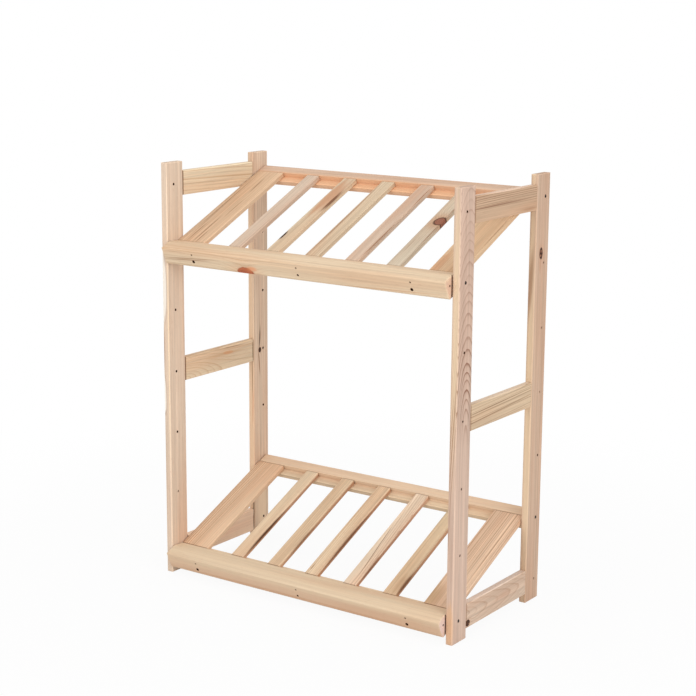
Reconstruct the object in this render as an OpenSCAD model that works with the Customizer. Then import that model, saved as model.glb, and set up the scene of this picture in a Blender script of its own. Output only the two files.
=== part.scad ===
// Drinks crate rack in planed pine.
// Two open side frames stand on the floor. Two slatted shelves hang between them,
// pitched down to the front, and a raised nose rail keeps the crates from sliding off.
// Millimetres. X runs across the rack, Y from front to rear, Z up.
// The origin lies on the floor, in the middle of the whole outline.

/* [Side frames] */
// Height of a post
rack_h = 850; // [600:5:1200]
// Width over both side frames
rack_w = 696; // [400:1:1200]
// Depth of a side frame, front to rear
frame_d = 325; // [240:1:450]
// Thickness of the frame timber
stock_t = 15; // [12:0.5:25]
// Width of a post
post_w = 50; // [36:1:70]
// Height of a frame rail
rail_h = 49; // [34:1:70]
// Rounding of the long edges of posts and rails
frame_round = 3; // [1:0.5:5]
// Rounding of the sawn ends of posts and rails
frame_end_round = 2; // [0.5:0.5:4]

/* [Post holes] */
// Height of the lowest post hole, also the middle of the bottom rail
first_hole_z = 43; // [30:0.5:80]
// Distance of the highest post hole from the top of the post, also the middle of the top rail
top_hole_below = 43.8; // [30:0.1:80]
// Holes in each post
hole_count = 7; // [4:1:9]
// Diameter of a post hole
post_hole_d = 4; // [3:0.1:6]
// Distance of the front post holes from the front of the frame
front_hole_in = 21.5; // [12:0.5:38]
// Distance of the rear post holes from the rear of the frame
rear_hole_in = 18; // [12:0.5:38]

/* [Frame joints] */
// Diameter of a rail dowel
dowel_d = 6; // [5:0.5:10]
// Length of a rail dowel
dowel_len = 30; // [20:1:40]
// Distance between the two dowels of a joint
dowel_spread = 28; // [14:1:40]

/* [Shelf placing] */
// Post hole row, counted from 0, that takes the front screws of the lower shelf
lower_row = 0; // [0:1:6]
// Post hole row, counted from 0, that takes the front screws of the upper shelf
upper_row = 5; // [1:1:7]
// Depth of the front screws under the slat tops
front_screw_below = 9.8; // [5:0.1:20]
// Depth of the rear screws under the slat tops
rear_screw_below = 11.1; // [5:0.1:15]
// Free play between a shelf and each side frame
shelf_play = 1.5; // [0.2:0.1:3]

/* [Nose rail] */
// Nose rail face ahead of the front screws, along the shelf
nose_ahead = 37.2; // [30:0.1:60]
// Height of the nose above the slat tops
nose_rise = 12.8; // [5:0.1:25]
// Depth of the nose rail under the slat tops
nose_drop = 26.8; // [18:0.1:45]
// Start of the bevel behind the nose face, along the shelf
nose_flat = 24; // [5:0.5:40]
// Slat seat of the nose rail behind the front screws, along the shelf
nose_seat_at = 13.1; // [5:0.1:20]
// Width of the slat seat in the nose rail
nose_seat_w = 13; // [8:0.5:25]
// Rounding of the upper nose edge
nose_round = 3; // [1:0.5:8]
// Rounding of the lower nose edge
nose_under_round = 7; // [2:0.5:12]
// Blend between the flat nose top and its bevel
nose_blend = 22; // [5:1:60]
// Rounding of the ends of the shelf rails
rail_end_round = 3; // [0.5:0.5:5]
// Spacing of the three hole pairs in the nose face
pair_pitch = 255.5; // [100:0.5:400]
// Height of the small hole of a pair above the slat tops
pair_small_up = 3.3; // [0:0.1:8]
// Depth of the large hole of a pair under the slat tops
pair_large_down = 12.2; // [8:0.1:20]
// Diameter of the small hole of a pair
pair_small_d = 3; // [2:0.1:5]
// Diameter of the large hole of the two outer pairs
pair_large_d = 5.5; // [3:0.1:8]
// Diameter of the large hole of the middle pair
pair_middle_d = 3.5; // [2:0.1:8]
// Depth of the holes in the nose face
pair_depth = 12; // [5:0.5:20]
// Hole in each nose rail end, ahead of the front screws
end_hole_ahead = 26; // [15:0.5:35]
// Hole in each nose rail end, under the slat tops
end_hole_down = 2; // [0:0.5:15]
// Diameter of the hole in each nose rail end
end_hole_d = 3; // [2:0.1:5]
// Depth of the hole in each nose rail end
end_hole_depth = 12; // [5:0.5:30]

/* [Rear shelf rail] */
// Back face of the rear shelf rail behind the rear screws, along the shelf
rear_back = 12; // [6:0.1:24]
// Front face of the rear shelf rail ahead of the rear screws, along the shelf
rear_front = 29.9; // [20:0.1:40]
// Thickness of the rear shelf rail
rear_t = 21.5; // [16:0.5:40]
// Width of the slat seat in the rear shelf rail
rear_seat_w = 17; // [8:0.5:25]
// Rounding of the edge that the slat seat leaves at the top of the rear shelf rail
rear_seat_round = 0.5; // [0.3:0.1:2]
// Rounding of the other edges of the rear shelf rail
rear_round = 3; // [1:0.5:6]

/* [Slats] */
// Thickness of slats and side boards
slat_t = 10; // [6:0.5:14]
// Width of a slat
slat_w = 30; // [18:0.5:60]
// Width of a side board
board_w = 67; // [40:0.5:100]
// Rounding of the long slat edges
slat_round = 2; // [0.5:0.5:4]
// Rounding of the slat ends
slat_end_round = 1.5; // [0.5:0.5:3]
// Free play at each slat end
slat_end_play = 0.2; // [0:0.1:1]

/* [Shelf screws] */
// Length of a shelf screw
screw_len = 50; // [35:1:70]
// Shank diameter of a shelf screw
screw_d = 3.4; // [3:0.1:5]
// Head diameter of a shelf screw
screw_head_d = 6.6; // [5.5:0.1:9]
// Height of the countersunk head
screw_head_h = 1.8; // [1.2:0.1:3]
// Set of the screw head under the post face
screw_sunk = 0.3; // [0:0.1:1]
// Length of the screw point
screw_point = 6; // [3:0.5:8]
// Width of the cross recess in the head
recess_w = 0.9; // [0.6:0.1:1.4]
// Span of the cross recess in the head
recess_span = 3.6; // [2.5:0.1:5]
// Depth of the cross recess in the head
recess_depth = 1.2; // [0.8:0.1:2]

/* [Slat pins] */
// Shank diameter of a slat pin
pin_d = 1.4; // [1:0.1:2]
// Head diameter of a slat pin
pin_head_d = 2.4; // [1.8:0.1:4]
// Head thickness of a slat pin
pin_head_t = 0.8; // [0.5:0.1:1.5]
// Length of a slat pin in the nose rail
front_pin_len = 22; // [18:0.5:30]
// Length of a slat pin in the rear shelf rail
rear_pin_len = 15; // [12:0.5:18]
// Distance of a side board pin from the board edge
pin_edge = 15; // [8:0.5:25]

/* [Hidden] */
$fn = 48;
// Clearance around round pieces in their bores
bore_play = 0.3;
// Overlap used when one shape is cut from another
cut = 1;

hole_pitch = (rack_h - first_hole_z - top_hole_below) / (hole_count - 1);
front_hole_y = front_hole_in;
rear_hole_y = frame_d - rear_hole_in;
hole_run = rear_hole_y - front_hole_y;
screw_dist = sqrt(hole_run * hole_run + hole_pitch * hole_pitch);
screw_step = front_screw_below - rear_screw_below;
tilt = atan(hole_pitch / hole_run) - asin(screw_step / screw_dist);
rear_screw_s = sqrt(screw_dist * screw_dist - screw_step * screw_step);

nose_reach = (nose_ahead - nose_round) * cos(tilt)
    + (front_screw_below + nose_rise - nose_round) * sin(tilt) + nose_round - front_hole_y;
origin_y = (frame_d - nose_reach) / 2;

rail_len = frame_d - 2 * post_w;
side_x = rack_w / 2 - stock_t;
shelf_w = 2 * (side_x - shelf_play);
nose_back = nose_seat_at + nose_seat_w;
rear_face_s = rear_screw_s - rear_front;
rear_seat_at = rear_face_s + rear_seat_w;
rear_back_s = rear_screw_s + rear_back;
slat_from = nose_seat_at + slat_end_play;
slat_to = rear_seat_at - slat_end_play;
slat_count = 5;
slat_gap = (shelf_w - 2 * board_w - slat_count * slat_w) / (slat_count + 1);
slat_pitch = slat_w + slat_gap;
board_x = shelf_w / 2 - board_w / 2;
front_pin_s = nose_seat_at + nose_seat_w / 2;
rear_pin_s = rear_face_s + rear_seat_w / 2;
pin_bore_d = pin_d + 2 * bore_play;
pin_head_bore_d = pin_head_d + 2 * bore_play;
pin_set = 0.3;
screw_bore_d = screw_d + 2 * bore_play;
dowel_bore_d = dowel_d + 2 * bore_play;
dowel_bore_depth = dowel_len / 2 + bore_play;
mid_row = floor((hole_count - 1) / 2);
top_row = hole_count - 1;

function row_z(row) = first_hole_z + row * hole_pitch;
function slat_x(n) = (n - (slat_count + 1) / 2) * slat_pitch;
function pin_xs() = concat(
    [for (n = [1 : slat_count]) slat_x(n)],
    [for (side = [-1, 1], k = [-1, 1]) side * board_x + k * (board_w / 2 - pin_edge)]);

// Flat outline with four rounded corners, centred
module rounded_rect(w, h, r) {
    square([w - 2 * r, h], center = true);
    square([w, h - 2 * r], center = true);
    for (i = [-1, 1], j = [-1, 1])
        translate([i * (w / 2 - r), j * (h / 2 - r)])
            circle(r = r);
}

// Bar with rounded edges on every side, centred
// edge rounds the edges along Z, end rounds the edges of the two Z ends
module bar_z(w, d, l, edge, end) {
    intersection() {
        linear_extrude(l, center = true)
            rounded_rect(w, d, edge);
        rotate([90, 0, 90])
            linear_extrude(w, center = true)
                rounded_rect(d, l, end);
        rotate([90, 0, 0])
            linear_extrude(d, center = true)
                rounded_rect(w, l, end);
    }
}

// Bar like bar_z that runs along Y
module bar_y(w, l, h, edge, end) {
    rotate([-90, 0, 0])
        bar_z(w, h, l, edge, end);
}

// Corner waste outside an arc of radius r, for a corner that points to sx, sy
module corner_waste(p, r, sx, sy) {
    translate(p)
        mirror([sx > 0 ? 1 : 0, 0])
            mirror([0, sy > 0 ? 1 : 0])
                difference() {
                    translate([-cut, -cut])
                        square(r + cut);
                    translate([r, r])
                        circle(r = r);
                }
}

// Places a shelf piece: X across, Y along the slats from the front screws, Z up from the slat tops
module on_shelf(row) {
    translate([0, front_hole_y - origin_y, row_z(row)])
        rotate([tilt, 0, 0])
            translate([0, 0, front_screw_below])
                children();
}

// Places a side frame piece: side is -1 on the left and 1 on the right, Y from the frame front
module on_frame(side) {
    translate([side * (side_x + stock_t / 2), -origin_y, 0])
        children();
}

// Round hole along X
module hole_x(d, l) {
    rotate([0, 90, 0])
        cylinder(d = d, h = l, center = true);
}

// Screw hole through a post with a countersink on the outer face
module screw_hole(side) {
    head_d = screw_head_d + 2 * bore_play;
    hole_x(post_hole_d, stock_t + 2 * cut);
    translate([side * (stock_t / 2 - screw_sunk), 0, 0])
        rotate([0, -side * 90, 0])
            cylinder(d1 = head_d, d2 = post_hole_d, h = screw_head_h * (head_d - post_hole_d)
                / (screw_head_d - screw_d));
    translate([side * (stock_t / 2 - screw_sunk), 0, 0])
        rotate([0, side * 90, 0])
            cylinder(d = head_d, h = screw_sunk + cut);
}

module post(side, rear) {
    post_y = rear == 1 ? frame_d - post_w / 2 : post_w / 2;
    hole_y = rear == 1 ? rear_hole_y : front_hole_y;
    inner = rear == 1 ? -1 : 1;
    on_frame(side)
        difference() {
            translate([0, post_y, rack_h / 2])
                bar_z(stock_t, post_w, rack_h, frame_round, frame_end_round);
            for (row = [0 : hole_count - 1])
                translate([0, hole_y, row_z(row)]) {
                    if (row == lower_row + rear || row == upper_row + rear)
                        screw_hole(side);
                    else
                        hole_x(post_hole_d, stock_t + 2 * cut);
                }
            for (row = [0, mid_row, top_row], k = [-1, 1])
                translate([0, post_y + inner * (post_w / 2 - dowel_bore_depth), row_z(row) + k * dowel_spread / 2])
                    rotate([-inner * 90, 0, 0])
                        cylinder(d = dowel_bore_d, h = dowel_bore_depth + cut);
        }
}

module frame_rail(side, row) {
    on_frame(side)
        difference() {
            translate([0, frame_d / 2, row_z(row)])
                bar_y(stock_t, rail_len, rail_h, frame_round, frame_end_round);
            for (end = [-1, 1], k = [-1, 1])
                translate([0, frame_d / 2 + end * (rail_len / 2 - dowel_bore_depth), row_z(row) + k * dowel_spread / 2])
                    rotate([-end * 90, 0, 0])
                        cylinder(d = dowel_bore_d, h = dowel_bore_depth + cut);
        }
}

module frame_dowels(side) {
    on_frame(side)
        for (row = [0, mid_row, top_row], end = [-1, 1], k = [-1, 1])
            translate([0, frame_d / 2 + end * rail_len / 2, row_z(row) + k * dowel_spread / 2])
                rotate([90, 0, 0])
                    cylinder(d = dowel_d, h = dowel_len, center = true);
}

// Side view of the nose rail: X along the slats, Y up from the slat tops
module nose_section() {
    bevel_run = nose_ahead + nose_seat_at - nose_flat;
    bevel = atan(nose_rise / bevel_run);
    knee = [nose_flat - nose_ahead, nose_rise];
    run_in = nose_blend * tan(bevel / 2);
    difference() {
        polygon([
            [-nose_ahead, -nose_drop],
            [nose_back, -nose_drop],
            [nose_back, -slat_t],
            [nose_seat_at, -slat_t],
            [nose_seat_at, 0],
            knee,
            [-nose_ahead, nose_rise]]);
        corner_waste([-nose_ahead, -nose_drop], nose_under_round, -1, -1);
        corner_waste([-nose_ahead, nose_rise], nose_round, -1, 1);
        corner_waste([nose_back, -nose_drop], nose_round, 1, -1);
        corner_waste([nose_back, -slat_t], slat_round, 1, 1);
        difference() {
            polygon([
                knee + [-run_in, 0],
                knee + [-run_in, cut],
                knee + [cut, cut],
                knee + [run_in * cos(bevel) + cut * sin(bevel), -run_in * sin(bevel) + cut * cos(bevel)],
                knee + [run_in * cos(bevel), -run_in * sin(bevel)]]);
            translate(knee + [-run_in, -nose_blend])
                circle(r = nose_blend, $fn = 240);
        }
    }
}

// Side view of the rear shelf rail: X along the slats, Y up from the slat tops
module rear_section() {
    difference() {
        polygon([
            [rear_face_s, -rear_t],
            [rear_back_s, -rear_t],
            [rear_back_s, 0],
            [rear_seat_at, 0],
            [rear_seat_at, -slat_t],
            [rear_face_s, -slat_t]]);
        corner_waste([rear_face_s, -rear_t], rear_round, -1, -1);
        corner_waste([rear_back_s, -rear_t], rear_round, 1, -1);
        corner_waste([rear_back_s, 0], rear_round, 1, 1);
        corner_waste([rear_face_s, -slat_t], slat_round, -1, 1);
        corner_waste([rear_seat_at, 0], rear_seat_round, -1, 1);
    }
}

// Section run across the shelf, with rounded ends
// from and to bound it along the slats, low and high bound it in height
module shelf_rail(from, to, low, high) {
    intersection() {
        rotate([90, 0, 90])
            linear_extrude(shelf_w, center = true)
                children();
        translate([0, (from + to) / 2, (low + high) / 2])
            linear_extrude(high - low + 2 * cut, center = true)
                rounded_rect(shelf_w, to - from, rail_end_round);
        translate([0, (from + to) / 2, (low + high) / 2])
            rotate([90, 0, 0])
                linear_extrude(to - from + 2 * cut, center = true)
                    rounded_rect(shelf_w, high - low, rail_end_round);
    }
}

// Bores for the two shelf screws in the ends of a shelf rail
module screw_bores() {
    depth = screw_len - stock_t - screw_sunk - shelf_play + 1;
    for (side = [-1, 1])
        translate([side * (shelf_w / 2 - depth / 2 + cut / 2), 0, 0])
            hole_x(screw_bore_d, depth + cut);
}

// Bores for the slat pins, from the underside at height low, up to height high
module pin_bores(s, low, high) {
    for (x = pin_xs()) {
        translate([x, s, low - cut])
            cylinder(d = pin_bore_d, h = high - low + cut);
        translate([x, s, low - cut])
            cylinder(d = pin_head_bore_d, h = pin_head_t + pin_set + cut);
    }
}

module nose_rail(row) {
    on_shelf(row)
        difference() {
            shelf_rail(-nose_ahead, nose_back, -nose_drop, nose_rise)
                nose_section();
            translate([0, 0, -front_screw_below])
                screw_bores();
            for (i = [-1, 0, 1]) {
                translate([i * pair_pitch, -nose_ahead - cut, pair_small_up])
                    rotate([-90, 0, 0])
                        cylinder(d = pair_small_d, h = pair_depth + cut);
                translate([i * pair_pitch, -nose_ahead - cut, -pair_large_down])
                    rotate([-90, 0, 0])
                        cylinder(d = i == 0 ? pair_middle_d : pair_large_d, h = pair_depth + cut);
            }
            for (side = [-1, 1])
                translate([side * (shelf_w / 2 - end_hole_depth / 2 + cut / 2), -end_hole_ahead, -end_hole_down])
                    hole_x(end_hole_d, end_hole_depth + cut);
            pin_bores(front_pin_s, -nose_drop, -slat_t + cut);
        }
}

module rear_rail(row) {
    on_shelf(row)
        difference() {
            shelf_rail(rear_face_s, rear_back_s, -rear_t, 0)
                rear_section();
            translate([0, rear_screw_s, -rear_screw_below])
                screw_bores();
            pin_bores(rear_pin_s, -rear_t, -slat_t + cut);
        }
}

// Slat or side board with the blind pin bores in its underside
module slat(row, x, w, pins) {
    l = slat_to - slat_from;
    on_shelf(row)
        difference() {
            translate([x, (slat_from + slat_to) / 2, -slat_t / 2])
                bar_y(w, l, slat_t, slat_round, slat_end_round);
            for (p = pins) {
                translate([p, front_pin_s, -slat_t - cut])
                    cylinder(d = pin_bore_d, h = front_pin_top() + slat_t + cut + bore_play);
                translate([p, rear_pin_s, -slat_t - cut])
                    cylinder(d = pin_bore_d, h = rear_pin_top() + slat_t + cut + bore_play);
            }
        }
}

function front_pin_top() = -nose_drop + pin_set + front_pin_len;
function rear_pin_top() = -rear_t + pin_set + rear_pin_len;

module shelf_slat(row, n) {
    slat(row, slat_x(n), slat_w, [slat_x(n)]);
}

module side_board(row, side) {
    slat(row, side * board_x, board_w, [for (k = [-1, 1]) side * board_x + k * (board_w / 2 - pin_edge)]);
}

module slat_pins(row, s, low, len) {
    on_shelf(row)
        for (x = pin_xs())
            translate([x, s, low + pin_set]) {
                cylinder(d = pin_d, h = len);
                cylinder(d = pin_head_d, h = pin_head_t);
            }
}

// One shelf screw along X, head outward at side
module shelf_screw(side) {
    rotate([0, -side * 90, 0])
        difference() {
            union() {
                cylinder(d1 = screw_head_d, d2 = screw_d, h = screw_head_h);
                cylinder(d = screw_d, h = screw_len - screw_point);
                translate([0, 0, screw_len - screw_point])
                    cylinder(d1 = screw_d, d2 = 0.6, h = screw_point);
            }
            for (turn = [0, 90])
                rotate([0, 0, turn])
                    translate([-recess_span / 2, -recess_w / 2, -cut])
                        cube([recess_span, recess_w, recess_depth + cut]);
        }
}

module shelf_screws(row) {
    for (side = [-1, 1], rear = [0, 1])
        translate([
            side * (rack_w / 2 - screw_sunk),
            (rear == 1 ? rear_hole_y : front_hole_y) - origin_y,
            row_z(row + rear)])
            shelf_screw(side);
}

module left_front_post() { color("burlywood") post(-1, 0); }
module left_rear_post() { color("burlywood") post(-1, 1); }
module left_bottom_rail() { color("wheat") frame_rail(-1, 0); }
module left_middle_rail() { color("wheat") frame_rail(-1, mid_row); }
module left_top_rail() { color("wheat") frame_rail(-1, top_row); }
module right_front_post() { color("burlywood") post(1, 0); }
module right_rear_post() { color("burlywood") post(1, 1); }
module right_bottom_rail() { color("wheat") frame_rail(1, 0); }
module right_middle_rail() { color("wheat") frame_rail(1, mid_row); }
module right_top_rail() { color("wheat") frame_rail(1, top_row); }
module left_frame_dowels() { color("tan") frame_dowels(-1); }
module right_frame_dowels() { color("tan") frame_dowels(1); }
module lower_nose_rail() { color("navajowhite") nose_rail(lower_row); }
module lower_rear_rail() { color("navajowhite") rear_rail(lower_row); }
module lower_left_board() { color("moccasin") side_board(lower_row, -1); }
module lower_right_board() { color("moccasin") side_board(lower_row, 1); }
module lower_slat_1() { color("moccasin") shelf_slat(lower_row, 1); }
module lower_slat_2() { color("moccasin") shelf_slat(lower_row, 2); }
module lower_slat_3() { color("moccasin") shelf_slat(lower_row, 3); }
module lower_slat_4() { color("moccasin") shelf_slat(lower_row, 4); }
module lower_slat_5() { color("moccasin") shelf_slat(lower_row, 5); }
module upper_nose_rail() { color("navajowhite") nose_rail(upper_row); }
module upper_rear_rail() { color("navajowhite") rear_rail(upper_row); }
module upper_left_board() { color("moccasin") side_board(upper_row, -1); }
module upper_right_board() { color("moccasin") side_board(upper_row, 1); }
module upper_slat_1() { color("moccasin") shelf_slat(upper_row, 1); }
module upper_slat_2() { color("moccasin") shelf_slat(upper_row, 2); }
module upper_slat_3() { color("moccasin") shelf_slat(upper_row, 3); }
module upper_slat_4() { color("moccasin") shelf_slat(upper_row, 4); }
module upper_slat_5() { color("moccasin") shelf_slat(upper_row, 5); }
module lower_shelf_screws() { color("dimgray") shelf_screws(lower_row); }
module upper_shelf_screws() { color("dimgray") shelf_screws(upper_row); }
module lower_front_pins() { color("silver") slat_pins(lower_row, front_pin_s, -nose_drop, front_pin_len); }
module lower_rear_pins() { color("silver") slat_pins(lower_row, rear_pin_s, -rear_t, rear_pin_len); }
module upper_front_pins() { color("silver") slat_pins(upper_row, front_pin_s, -nose_drop, front_pin_len); }
module upper_rear_pins() { color("silver") slat_pins(upper_row, rear_pin_s, -rear_t, rear_pin_len); }

left_front_post();
left_rear_post();
left_bottom_rail();
left_middle_rail();
left_top_rail();
right_front_post();
right_rear_post();
right_bottom_rail();
right_middle_rail();
right_top_rail();
left_frame_dowels();
right_frame_dowels();
lower_nose_rail();
lower_rear_rail();
lower_left_board();
lower_right_board();
lower_slat_1();
lower_slat_2();
lower_slat_3();
lower_slat_4();
lower_slat_5();
upper_nose_rail();
upper_rear_rail();
upper_left_board();
upper_right_board();
upper_slat_1();
upper_slat_2();
upper_slat_3();
upper_slat_4();
upper_slat_5();
lower_shelf_screws();
upper_shelf_screws();
lower_front_pins();
lower_rear_pins();
upper_front_pins();
upper_rear_pins();
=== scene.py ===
# %% [markdown]
# A drinks crate rack in planed pine
#
# Every post, rail, slat, screw and dowel of the rack is already there at its real place
# and size, as a solid of the CAD model, and nothing here moves or reshapes one. What is
# left for Blender is what the eye reads as wood: growth rings that run through the whole
# thickness of a stick, fibres, knots and stains, the brown walls of drilled holes, darkened
# further by painted shade, the broken and paler corners of a machine-planed edge, lightened
# by a painted highlight, a little more painted light and shade, and the soft light of a
# photo studio.
#
# All lengths are metres, with +Z up and the front of the rack towards -Y.

# %% Load the rack
import bpy
import math
import numpy as np
from mathutils import Matrix, Vector


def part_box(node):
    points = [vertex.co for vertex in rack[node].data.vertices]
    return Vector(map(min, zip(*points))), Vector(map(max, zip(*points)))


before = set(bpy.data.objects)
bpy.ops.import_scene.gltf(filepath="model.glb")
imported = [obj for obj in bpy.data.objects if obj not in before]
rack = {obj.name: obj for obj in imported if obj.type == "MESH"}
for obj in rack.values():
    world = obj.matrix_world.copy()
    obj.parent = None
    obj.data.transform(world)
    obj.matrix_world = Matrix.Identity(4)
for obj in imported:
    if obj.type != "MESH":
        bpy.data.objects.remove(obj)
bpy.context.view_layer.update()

# %% [markdown]
# The directions of the rack
#
# The shelves slope: their slats run back and up. A slope could be read from the meshes,
# but the part is built from a few plain numbers, so the slope is worked out here from the
# same ones. The front screws of a shelf go through one row of post holes and the rear
# screws through the next row up. The slats would lie parallel to a line through both, but
# the rear screws sit a little deeper under them, which tips the shelf a little more.

# %% Directions and places that the finishes need
hole_rise = 0.1272                      # one step of the post holes
hole_run = 0.2855                       # front holes to rear holes, along Y
first_hole = 0.043                      # height of the lowest hole
front_hole_y = -0.130634
rear_hole_y = front_hole_y + hole_run
front_screw_depth = 0.0098              # slat tops to the front screws
rear_screw_depth = 0.0111
tip = math.asin((rear_screw_depth - front_screw_depth) / math.hypot(hole_rise, hole_run))
slope = math.atan2(hole_rise, hole_run) + tip
across = Vector((1, 0, 0))
back = Vector((0, 1, 0))
up = Vector((0, 0, 1))
along_slat = Vector((0, math.cos(slope), math.sin(slope)))
off_slat = Vector((0, -math.sin(slope), math.cos(slope)))
lower, upper = 0, 5                     # the row of post holes that carries each shelf's front
print("slope of the shelves: %.2f degrees" % math.degrees(slope))


def shelf_place(row, x, s, n):
    """A point on a shelf: x across, s along the slats from the front screws, n above the slat tops."""
    start = Vector((0, front_hole_y, first_hole + row * hole_rise)) + front_screw_depth * off_slat
    return start + x * across + s * along_slat + n * off_slat


# %% [markdown]
# The camera
#
# The photograph was taken from the right of the rack and a little above it, with a long
# lens: the uprights lean together only slightly. The place and the directions of the
# camera were fitted to the edges of the posts, so they are written down as numbers. A
# camera looks along its own -Z, so its third direction points back from the rack.

# %% Camera
eye = (1.86261, -2.64733, 1.18843)
look = Vector((-0.56231467, 0.79983693, -0.20991214)).normalized()
right = Vector((0.8172339, 0.57626871, 0.00656649)).normalized()
top = right.cross(look).normalized()
lens = bpy.data.cameras.new("photo_view")
lens.sensor_width = 36.0
lens.lens = 86.602
lens.clip_end = 300.0
camera = bpy.data.objects.new("photo_view", lens)
bpy.context.scene.collection.objects.link(camera)
camera.matrix_world = Matrix.Translation(eye) @ Matrix((right, top, -look)).transposed().to_4x4()
bpy.context.scene.camera = camera
bpy.context.scene.view_settings.view_transform = "Standard"
print("camera is %.2f m from the rack" % camera.matrix_world.translation.length)

# %% [markdown]
# A hand for wiring materials
#
# A procedural material is a graph of small nodes. Wiring each one in full would bury the
# wood under bookkeeping, so this class adds a node and returns its output, and a sum of
# nodes then reads like the formula it stands for. A value may be a number, a colour or
# another node's output.

# %% Wiring: sums with numbers and directions


class Wiring:
    """Adds nodes to one node tree; every method but feed returns the new node or what it puts out."""

    def __init__(self, tree):
        self.tree = tree

    def node(self, kind, **settings):
        made = self.tree.nodes.new(kind)
        for name, value in settings.items():
            setattr(made, name, value)
        return made

    def feed(self, socket, value):
        """Links an output to an input, or sets the input to a number or a colour."""
        if isinstance(value, bpy.types.NodeSocket):
            self.tree.links.new(value, socket)
        else:
            socket.default_value = value

    def math(self, what, first, second=0.0, clamp=False):
        made = self.node("ShaderNodeMath", operation=what, use_clamp=clamp)
        self.feed(made.inputs[0], first)
        self.feed(made.inputs[1], second)
        return made.outputs[0]

    def add(self, first, second):
        return self.math("ADD", first, second)

    def less(self, first, second):
        return self.math("SUBTRACT", first, second)

    def times(self, first, second):
        return self.math("MULTIPLY", first, second)

    def vector(self, what, first, second):
        made = self.node("ShaderNodeVectorMath", operation=what)
        self.feed(made.inputs[0], first)
        self.feed(made.inputs[1], second)
        return made.outputs["Value" if what == "DOT_PRODUCT" else "Vector"]

    def scaled(self, direction, size):
        made = self.node("ShaderNodeVectorMath", operation="SCALE")
        self.feed(made.inputs[0], direction)
        self.feed(made.inputs["Scale"], size)
        return made.outputs["Vector"]

    def length(self, direction):
        made = self.node("ShaderNodeVectorMath", operation="LENGTH")
        self.feed(made.inputs[0], direction)
        return made.outputs["Value"]

    def parts(self, point):
        made = self.node("ShaderNodeSeparateXYZ")
        self.feed(made.inputs[0], point)
        return made.outputs[0], made.outputs[1], made.outputs[2]

    def join(self, *parts):
        made = self.node("ShaderNodeCombineXYZ")
        for socket, value in zip(made.inputs, parts):
            self.feed(socket, value)
        return made.outputs[0]


print("ways to reckon with nodes:", len([name for name in vars(Wiring) if name[0] != "_"]))

# %% [markdown]
# Brushes for wood
#
# Wood also needs uneven values, soft steps and mixed colours. Noise is the usual way to
# unevenness; it is stretched by giving it a point whose parts are multiplied first. A
# smooth step turns a distance into a soft-edged mark. A ramp gives a value any profile.

# %% Wiring: noise, steps and colours


class WoodWiring(Wiring):
    """The same hand, with the brushes that paint wood."""

    def bumps(self, kind, where, detail, rough=0.5):
        """A noise node of one or three dimensions, fed with a number or a point."""
        made = self.node("ShaderNodeTexNoise", noise_dimensions=kind)
        self.feed(made.inputs["W" if kind == "1D" else "Vector"], where)
        made.inputs["Scale"].default_value = 1.0
        made.inputs["Detail"].default_value = detail
        made.inputs["Roughness"].default_value = rough
        return made.outputs

    def noise(self, at, detail=2.0, rough=0.5, stretch=(1, 1, 1), seed=0.0):
        """Smooth noise about 0.5 at a point; stretch gives the features per metre on each axis."""
        at = self.vector("ADD", self.vector("MULTIPLY", at, stretch), self.join(seed, seed, seed))
        return self.bumps("3D", at, detail, rough)["Fac"]

    def ease(self, value, low, high):
        """0 below low, 1 above high, and a smooth step between; low may be above high."""
        made = self.node("ShaderNodeMapRange", interpolation_type="SMOOTHSTEP", clamp=True)
        self.feed(made.inputs["Value"], value)
        self.feed(made.inputs["From Min"], low)
        self.feed(made.inputs["From Max"], high)
        return made.outputs["Result"]

    def curve(self, value, stops):
        """A value passed through a ramp of (place, height) stops."""
        made = self.node("ShaderNodeValToRGB")
        self.feed(made.inputs[0], value)
        ramp = made.color_ramp
        while len(ramp.elements) < len(stops):
            ramp.elements.new(1.0)
        for element, (place, height) in zip(ramp.elements, stops):
            element.position = place
            element.color = (height, height, height, 1.0)
        return made.outputs["Color"]

    def tint(self, share, under, over, how="MIX"):
        """A share of one colour laid over another, or multiplied into it."""
        made = self.node("ShaderNodeMix", data_type="RGBA", blend_type=how)
        self.feed(made.inputs["Factor"], share)
        self.feed(made.inputs["A"], under)
        self.feed(made.inputs["B"], over)
        return made.outputs["Result"]


print("brushes for wood:", [name for name in vars(WoodWiring) if name[0] != "_"])

# %% [markdown]
# Rules that all sticks share
#
# A rule of growth is the same for every stick of the rack, and only its numbers differ. In
# code such a rule would be a function, and in a material it is a node group: it is wired
# once, and each material that uses it gives it its own inputs.

# %% An empty node group


def new_group(name, inputs, outputs):
    """An empty node group with the given (name, socket kind) inputs and float outputs."""
    group = bpy.data.node_groups.new(name, "ShaderNodeTree")
    for label, kind in inputs:
        group.interface.new_socket(label, in_out="INPUT", socket_type="NodeSocket" + kind)
    for label in outputs:
        group.interface.new_socket(label, in_out="OUTPUT", socket_type="NodeSocketFloat")
    return (group, WoodWiring(group), group.nodes.new("NodeGroupInput").outputs,
            group.nodes.new("NodeGroupOutput").inputs)


print("new_group makes:", new_group.__doc__)

# %% [markdown]
# Growth rings
#
# A stick of pine is cut out of a trunk whose rings are nearly cylinders about the pith.
# A picture of grain would show the same lines on every face and would break at the arrises.
# Instead the ring number is worked out at each point in space, so a wide face that lies
# across the rings shows arches, a narrow face shows straight lines, and the sawn end shows
# the arcs of the rings, all from one rule. The distance from the pith is bent a little by
# slow noise, because no tree grows straight. It is divided by the ring width, which differs
# from year to year. The fraction that is left runs from 0 in pale spring wood to 1 in the
# dark summer wood, and drops back sharply where the next spring begins.
#
# A trunk may also lean away from one half of a stick and run straight beside the other,
# which gives that half its arches. The elbow between the two is the smooth curve
# u/2 + sqrt(u*u + 0.05**2)/2, u being the place along the stick: it is nearly flat for
# negative u and rises with u after that. Turned round, it bends the other half.

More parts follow.
